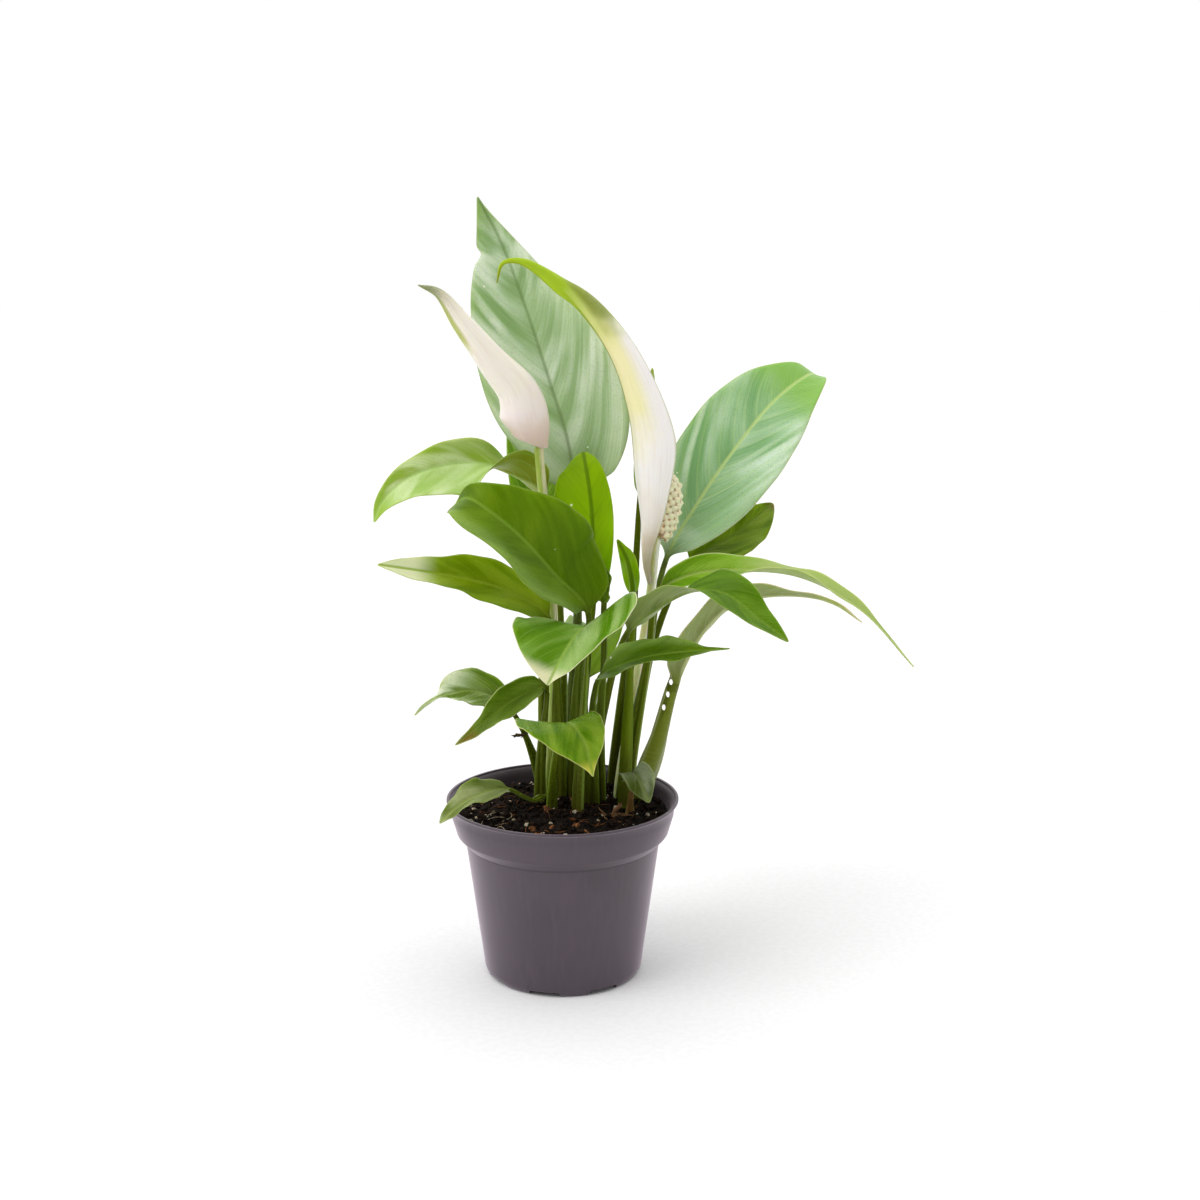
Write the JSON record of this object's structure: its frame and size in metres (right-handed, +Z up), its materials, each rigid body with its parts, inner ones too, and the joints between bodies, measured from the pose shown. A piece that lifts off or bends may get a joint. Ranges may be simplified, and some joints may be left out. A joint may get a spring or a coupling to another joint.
{
  "type": "potted peace lily",
  "caption": "Young peace lily plant with arching glossy leaves and cream spathes, rooted in peat in a round plastic nursery pot that stands on its base.",
  "frame": {"origin": "centre of the flat disc under the pot, on the plane that the pot stands on", "axes": "+Z up along the pot; -Y towards the front of the plant; +X to its right side"},
  "size_m": [0.202, 0.153, 0.2983],
  "materials": {
    "pot_plastic": "thin moulded polypropylene, grey-mauve, satin matte",
    "peat": "damp dark brown peat with perlite and bark, rough matte",
    "leaf_dark_green": "living leaf, deep green, waxy satin",
    "leaf_mid_green": "living leaf, mid green, waxy satin",
    "leaf_young_green": "living young leaf, yellow-green, thin and waxy satin",
    "leaf_silver_green": "living leaf, grey-green with a silvery sheen",
    "flower_stalk": "living stalk, pale yellow-green, satin",
    "spathe_cream": "living bract, cream with green and pink tints, matte",
    "spadix_cream": "living flower spike, cream, bumpy matte",
    "dry_stem": "dried stem end, orange-brown, rough"
  },
  "bodies": {
    "root": {"pot": "pot_plastic", "soil": "peat", "leaf_back_tall": "leaf_silver_green", "leaf_right_upper": "leaf_silver_green", "leaf_right_behind": "leaf_dark_green", "leaf_left_arching": "leaf_mid_green", "leaf_upright_young": "leaf_young_green", "leaf_front_left_broad": "leaf_dark_green", "leaf_left_lance": "leaf_mid_green", "leaf_front_centre": "leaf_young_green", "leaf_front_right_dark": "leaf_dark_green", "leaf_right_folded": "leaf_mid_green", "leaf_right_long": "leaf_mid_green", "leaf_right_low_arch": "leaf_silver_green", "leaf_low_left_small": "leaf_mid_green", "leaf_low_left_dark": "leaf_dark_green", "leaf_front_low": "leaf_young_green", "leaf_low_right_small": "leaf_mid_green", "leaf_over_rim": "leaf_mid_green", "leaf_young_spear": "leaf_young_green", "leaf_young_folded": "leaf_dark_green", "leaf_hidden_spear": "leaf_mid_green", "leaf_rear_upper": "leaf_mid_green", "leaf_rear_low": "leaf_dark_green", "dry_leaf_stub": "dry_stem", "flower_right_stalk": "flower_stalk", "flower_right_spathe": "spathe_cream", "flower_right_spadix": "spadix_cream", "flower_left_stalk": "flower_stalk", "flower_left_spathe": "spathe_cream", "flower_left_spadix": "spadix_cream"}
  },
  "joints": []
}
